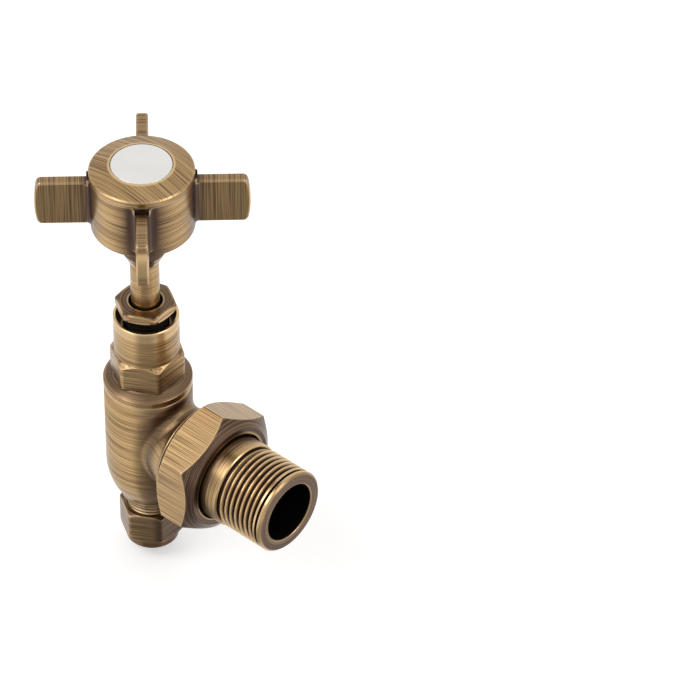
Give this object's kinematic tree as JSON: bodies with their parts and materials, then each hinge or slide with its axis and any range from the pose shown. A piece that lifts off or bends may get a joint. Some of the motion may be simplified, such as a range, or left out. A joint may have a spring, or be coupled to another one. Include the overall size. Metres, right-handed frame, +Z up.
{
  "type": "angled radiator valve",
  "caption": "Angled radiator valve with a crosshead handle: pipe from below, threaded tail with a union nut to the side, rising spindle that closes a washer on its seat.",
  "frame": {"origin": "middle of the pipe's mouth, in the lower face of the compression nut", "axes": "+Z up along the pipe and the spindle, +X along the branch towards the radiator"},
  "size_m": [0.0641, 0.038, 0.1161],
  "materials": {
    "antique_brass": "satin",
    "plain_brass": "satin",
    "rubber": "matte",
    "fibre": "matte",
    "ceramic": "gloss"
  },
  "bodies": {
    "valve": {"valve_body": "antique_brass", "bonnet": "antique_brass", "bonnet_seal": "fibre", "gland_packing": "fibre"},
    "lift": {"jumper": "plain_brass", "seat_washer": "rubber", "washer_nut": "plain_brass"},
    "handle": {"spindle": "antique_brass", "crosshead_handle": "antique_brass", "handle_cap": "antique_brass", "ceramic_disc": "ceramic", "handle_screw": "plain_brass", "handle_washer": "plain_brass"},
    "gland_ring": {"gland_follower": "plain_brass"},
    "gland_nut": {"gland_nut": "antique_brass"},
    "tail": {"union_tail": "antique_brass", "tail_seal": "rubber"},
    "union_nut": {"union_nut": "antique_brass"},
    "olive": {"olive": "plain_brass"},
    "compression_nut": {"compression_nut": "antique_brass"}
  },
  "joints": [
    {"name": "spindle_rise", "type": "slide", "parent": "valve", "child": "lift", "axis": [0, 0, 1], "range_m": [0, 0.005]},
    {"name": "handle_turn", "type": "hinge", "parent": "lift", "child": "handle", "pos_m": [0, 0, 0.1], "axis": [0, 0, 1], "range_deg": [0, 900]},
    {"name": "gland_rise", "type": "slide", "parent": "valve", "child": "gland_ring", "axis": [0, 0, 1], "range_m": [0, 0.002]},
    {"name": "gland_nut_turn", "type": "hinge", "parent": "gland_ring", "child": "gland_nut", "pos_m": [0, 0, 0.0736], "axis": [0, 0, 1], "range_deg": [0, 720]},
    {"name": "union_draw", "type": "slide", "parent": "valve", "child": "tail", "axis": [1, 0, 0], "range_m": [0, 0.0045]},
    {"name": "union_nut_turn", "type": "hinge", "parent": "tail", "child": "union_nut", "pos_m": [0.0207, 0, 0.0343], "axis": [1, 0, 0], "range_deg": [0, 1080]},
    {"name": "olive_drop", "type": "slide", "parent": "valve", "child": "olive", "axis": [0, 0, -1], "range_m": [0, 0.003]},
    {"name": "compression_nut_turn", "type": "hinge", "parent": "olive", "child": "compression_nut", "pos_m": [0, 0, 0.006], "axis": [0, 0, -1], "range_deg": [0, 1080]}
  ],
  "couplings": [
    {"joint": "handle_turn", "follows": "spindle_rise", "rad_per_m": 3141.6},
    {"joint": "gland_nut_turn", "follows": "gland_rise", "rad_per_m": 6283.2},
    {"joint": "union_nut_turn", "follows": "union_draw", "rad_per_m": 4188.8},
    {"joint": "compression_nut_turn", "follows": "olive_drop", "rad_per_m": 6283.2}
  ]
}
